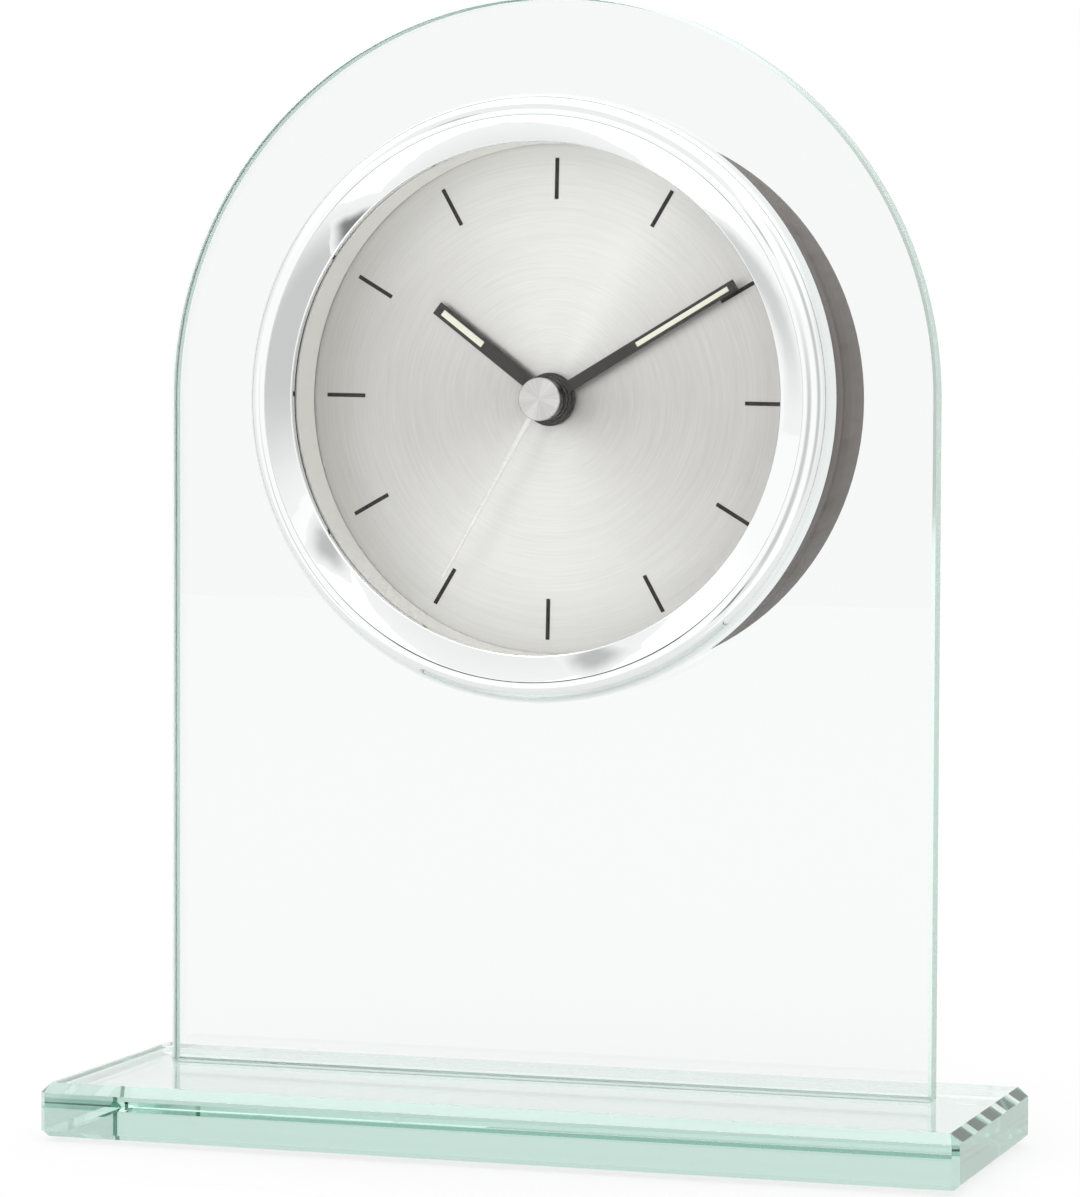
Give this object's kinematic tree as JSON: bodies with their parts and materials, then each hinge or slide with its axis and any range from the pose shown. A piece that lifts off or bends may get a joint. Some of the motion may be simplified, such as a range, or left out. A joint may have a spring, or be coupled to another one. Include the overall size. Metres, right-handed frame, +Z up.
{
  "type": "mantel clock",
  "caption": "Round quartz clock insert with a chromed bezel, set in an arched clear glass panel on a bevelled glass base.",
  "frame": {"origin": "centre of the footprint, on the surface that the feet stand on, under the middle of the bounding box", "axes": "+Z up, +X to the viewer's right as they face the dial, -Y out of the dial towards the viewer"},
  "size_m": [0.1756, 0.0696, 0.214],
  "materials": {
    "float_glass": "polished",
    "lens_glass": "polished",
    "clear_adhesive": "clear cured adhesive",
    "clear_bumper": "clear soft",
    "chromed_plastic": "bright plated",
    "cream_plastic": "satin moulded",
    "dial_silver": "circular brushed",
    "index_black": "printed",
    "hand_black": "satin black",
    "lume_cream": "matt",
    "hand_silver": "brushed",
    "bush_black": "moulded",
    "case_grey": "fine textured moulded",
    "seal_rubber": "soft",
    "movement_plastic": "moulded",
    "wheel_plastic": "moulded acetal",
    "plated_steel": "bright plated",
    "stator_iron": "bare stamped",
    "coil_copper": "enamelled wire",
    "board_green": "solder mask",
    "chip_black": "potted blob",
    "cell_jacket": "plain printed jacket"
  },
  "bodies": {
    "root": {"base_plate": "float_glass", "battery": "cell_jacket", "bezel": "chromed_plastic", "bond_line": "clear_adhesive", "bumper_feet": "clear_bumper", "case_back": "case_grey", "case_drum": "case_grey", "case_screws": "plated_steel", "circuit_board": "board_green", "clamp_ring": "case_grey", "coil_bobbin": "movement_plastic", "coil_winding": "coil_copper", "dial": "dial_silver", "dial_ring": "cream_plastic", "dial_support": "movement_plastic", "driver_chip": "chip_black", "foam_washer": "seal_rubber", "glass_panel": "float_glass", "hour_marks": "index_black", "lens": "lens_glass", "lens_gasket": "seal_rubber", "movement_front": "movement_plastic", "movement_rear": "movement_plastic", "movement_screws": "plated_steel", "negative_contact": "plated_steel", "positive_contact": "plated_steel", "quartz_crystal": "plated_steel", "stator": "stator_iron"},
    "seconds": {"seconds_wheel": "wheel_plastic", "second_bush": "bush_black", "second_hand": "hand_silver", "second_cap": "hand_silver"},
    "idler": {"idler_wheel": "wheel_plastic"},
    "rotor": {"rotor": "wheel_plastic"},
    "third": {"third_wheel": "wheel_plastic"},
    "centre": {"centre_wheel": "wheel_plastic"},
    "minute": {"minute_arbor": "wheel_plastic", "minute_hand": "hand_black", "minute_lume": "lume_cream"},
    "motion": {"motion_wheel": "wheel_plastic"},
    "hour": {"hour_wheel": "wheel_plastic", "hour_hand": "hand_black", "hour_lume": "lume_cream"},
    "setting": {"setting_arbor": "wheel_plastic", "setting_knob": "case_grey"},
    "door": {"battery_door": "case_grey"}
  },
  "joints": [
    {"name": "seconds_spin", "type": "hinge", "parent": "root", "child": "seconds", "pos_m": [0, 0, 0.139], "axis": [0, 1, 0], "continuous": true},
    {"name": "idler_spin", "type": "hinge", "parent": "root", "child": "idler", "pos_m": [0.01031, 0, 0.13305], "axis": [0, 1, 0], "continuous": true},
    {"name": "rotor_spin", "type": "hinge", "parent": "root", "child": "rotor", "pos_m": [0.00723, 0, 0.12459], "axis": [0, 1, 0], "continuous": true},
    {"name": "third_spin", "type": "hinge", "parent": "root", "child": "third", "pos_m": [-0.01001, 0, 0.14478], "axis": [0, 1, 0], "continuous": true},
    {"name": "centre_spin", "type": "hinge", "parent": "root", "child": "centre", "pos_m": [0, 0, 0.139], "axis": [0, 1, 0], "continuous": true},
    {"name": "minute_spin", "type": "hinge", "parent": "root", "child": "minute", "pos_m": [0, 0, 0.139], "axis": [0, 1, 0], "continuous": true},
    {"name": "motion_spin", "type": "hinge", "parent": "root", "child": "motion", "pos_m": [0, 0, 0.1486], "axis": [0, 1, 0], "continuous": true},
    {"name": "hour_spin", "type": "hinge", "parent": "root", "child": "hour", "pos_m": [0, 0, 0.139], "axis": [0, 1, 0], "continuous": true},
    {"name": "setting_spin", "type": "hinge", "parent": "root", "child": "setting", "pos_m": [0, 0, 0.1582], "axis": [0, 1, 0], "continuous": true},
    {"name": "door_slide", "type": "slide", "parent": "root", "child": "door", "axis": [0, 1, 0], "range_m": [0, 0.02]}
  ],
  "couplings": [
    {"joint": "rotor_spin", "follows": "idler_spin", "ratio": -5},
    {"joint": "seconds_spin", "follows": "idler_spin", "ratio": -0.16667},
    {"joint": "third_spin", "follows": "idler_spin", "ratio": 0.022222},
    {"joint": "centre_spin", "follows": "idler_spin", "ratio": -0.0027778},
    {"joint": "motion_spin", "follows": "minute_spin", "ratio": -0.33333},
    {"joint": "hour_spin", "follows": "minute_spin", "ratio": 0.083333},
    {"joint": "setting_spin", "follows": "minute_spin", "ratio": 1}
  ]
}
